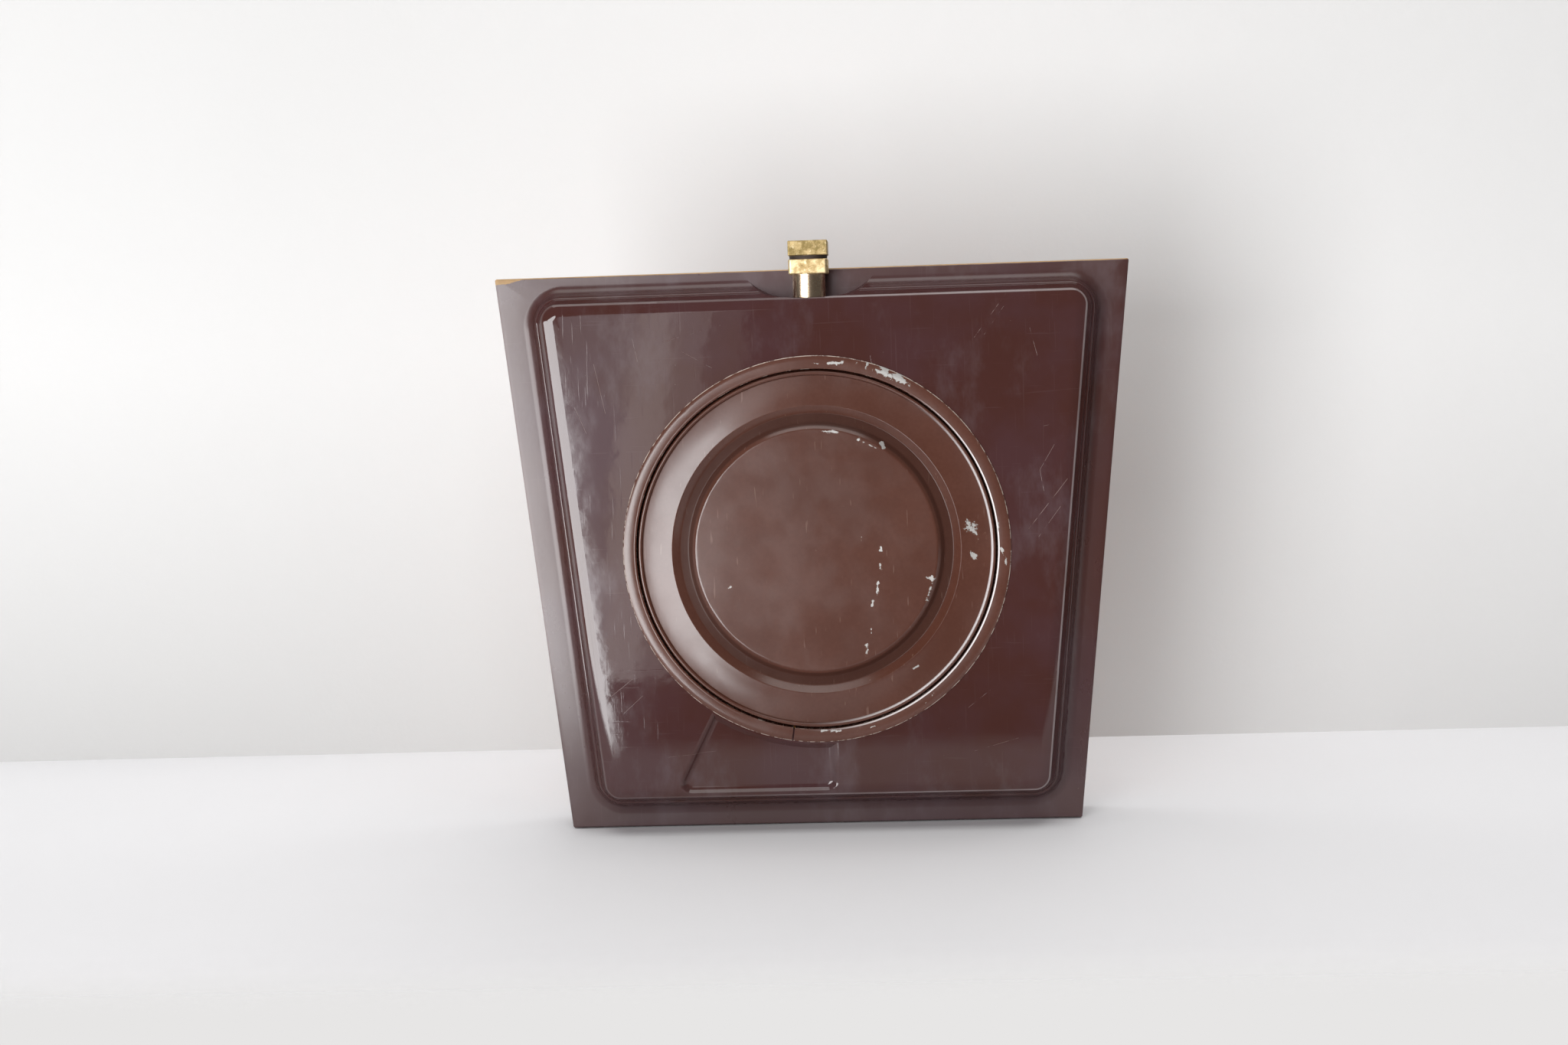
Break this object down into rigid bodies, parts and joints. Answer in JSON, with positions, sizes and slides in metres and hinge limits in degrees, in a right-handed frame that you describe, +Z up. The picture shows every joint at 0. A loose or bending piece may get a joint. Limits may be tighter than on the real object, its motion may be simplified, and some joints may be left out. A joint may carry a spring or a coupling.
{
  "type": "darkroom safelight",
  "caption": "Hanging darkroom lamp: trapezoid moulded housing with a round pull-off rear cover, a lift-out filter at the front and a swivelling stem fitting on top.",
  "frame": {"origin": "centre of the top face of the upper block of the stem fitting, on the stem's axis", "axes": "+Z up along the stem, +Y from the rear cover towards the filter window, +X completes the frame"},
  "size_m": [0.2606, 0.046, 0.2416],
  "materials": {
    "brass": "polished, tarnished",
    "fibre": "matte",
    "steel": "zinc plated",
    "phenolic": "glossy moulded phenolic",
    "cover_paint": "satin stoved enamel",
    "ring_paint": "satin stoved enamel, chipped",
    "felt": "matte felt",
    "porcelain": "glazed",
    "holder_plastic": "moulded phenolic",
    "lamp_glass": "clear",
    "bulb_cap_metal": "satin",
    "bulb_insulator": "black glass",
    "bulb_wire": "drawn wire",
    "lead_red": "braided rubber",
    "lead_black": "braided rubber",
    "filter_glass": "clear",
    "gelatine": "dyed gelatine film",
    "binding_tape": "matte tape"
  },
  "bodies": {
    "ceiling_fitting": {"knuckle_upper": "brass", "swivel_washer": "fibre", "swivel_collar": "brass"},
    "lamp": {"knuckle_lower": "brass", "swivel_stop_pin": "brass", "swivel_spring_washer": "steel", "stem_tube": "brass", "stem_nipple": "brass", "stem_lock_washer": "steel", "stem_nut": "steel", "earth_tag": "steel", "rear_housing": "phenolic", "frame_inserts": "brass", "frame_screws": "steel", "flange_gasket": "felt", "front_frame": "phenolic", "window_seal": "felt", "filter_springs": "steel", "spring_rivets": "steel", "cover_ring": "ring_paint", "cover_seal": "felt", "lamp_bracket": "steel", "holder_neck_nut": "steel", "holder_cap": "holder_plastic", "holder_skirt": "holder_plastic", "holder_core": "porcelain", "holder_thread_shell": "brass", "holder_centre_contact": "brass", "holder_terminal_screws": "steel", "bulb_glass": "lamp_glass", "bulb_cap": "bulb_cap_metal", "bulb_cap_insulator": "bulb_insulator", "bulb_centre_contact": "bulb_cap_metal", "bulb_stem_glass": "lamp_glass", "bulb_support_wires": "bulb_wire", "bulb_filament": "bulb_wire", "terminal_block": "porcelain", "terminal_tubes": "brass", "terminal_screws": "steel", "terminal_block_screw": "steel", "lead_live": "lead_red", "lead_neutral": "lead_black"},
    "filter": {"filter_glass_front": "filter_glass", "filter_gelatine": "gelatine", "filter_glass_rear": "filter_glass", "filter_binding": "binding_tape", "filter_top_strip": "brass"},
    "rear_cover": {"cover_lid": "cover_paint"}
  },
  "joints": [
    {"name": "stem_swivel", "type": "hinge", "parent": "ceiling_fitting", "child": "lamp", "pos_m": [0, 0, -0.0068], "axis": [0, 0, 1], "range_deg": [-165, 165]},
    {"name": "filter_lift", "type": "slide", "parent": "lamp", "child": "filter", "axis": [0, 0, 1], "range_m": [0, 0.215]},
    {"name": "cover_pull", "type": "slide", "parent": "lamp", "child": "rear_cover", "axis": [0, -1, 0], "range_m": [0, 0.05]}
  ]
}
